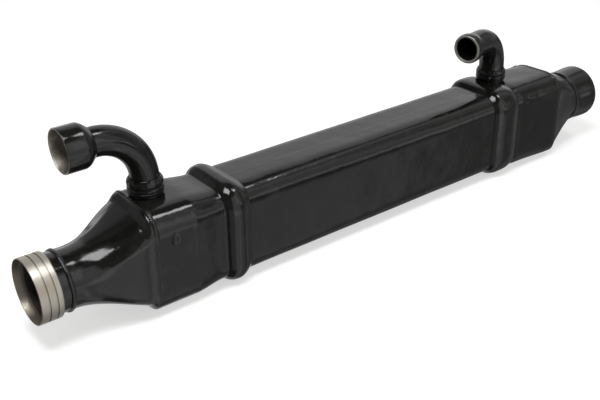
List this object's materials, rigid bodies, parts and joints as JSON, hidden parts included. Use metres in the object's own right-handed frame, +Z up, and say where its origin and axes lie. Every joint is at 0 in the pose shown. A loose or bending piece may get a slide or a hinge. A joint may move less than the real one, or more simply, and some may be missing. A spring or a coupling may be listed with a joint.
{
  "type": "egr cooler",
  "caption": "Long box-shaped exhaust gas cooler in gloss black, with a round-to-rectangular gas inlet, a flat-tube core, a gas outlet pipe and bent coolant elbows on top.",
  "frame": {"origin": "on the resting plane, under the middle of the overall length", "axes": "+X along the gas flow from inlet ring to outlet pipe, +Z up through the coolant ports"},
  "size_m": [0.7832, 0.0874, 0.1957],
  "materials": {
    "gloss_black_paint": "gloss black stoving enamel over sheet steel",
    "machined_stainless": "bare turned stainless steel",
    "stainless_sheet": "bare brazed stainless sheet"
  },
  "bodies": {
    "root": {"inlet_neck": "gloss_black_paint", "neck_weld": "gloss_black_paint", "inlet_diffuser": "gloss_black_paint", "diffuser_weld": "gloss_black_paint", "front_coolant_tank": "gloss_black_paint", "core_shell": "gloss_black_paint", "rear_coolant_tank": "gloss_black_paint", "cone_weld": "gloss_black_paint", "outlet_cone": "gloss_black_paint", "pipe_weld": "gloss_black_paint", "outlet_pipe": "gloss_black_paint", "front_port_boss": "gloss_black_paint", "front_port_ferrule": "gloss_black_paint", "front_coolant_elbow": "gloss_black_paint", "elbow_bell": "gloss_black_paint", "rear_port_boss": "gloss_black_paint", "rear_port_ferrule": "gloss_black_paint", "rear_coolant_elbow": "gloss_black_paint", "gas_inlet_ring": "machined_stainless", "front_header_plate": "stainless_sheet", "rear_header_plate": "stainless_sheet", "gas_tube_01": "stainless_sheet", "gas_tube_02": "stainless_sheet", "gas_tube_03": "stainless_sheet", "gas_tube_04": "stainless_sheet", "gas_tube_05": "stainless_sheet", "gas_tube_06": "stainless_sheet", "gas_tube_07": "stainless_sheet", "gas_tube_08": "stainless_sheet", "gas_tube_09": "stainless_sheet", "gas_tube_10": "stainless_sheet", "comb_baffle_1": "stainless_sheet", "comb_baffle_2": "stainless_sheet", "comb_baffle_3": "stainless_sheet"}
  },
  "joints": []
}
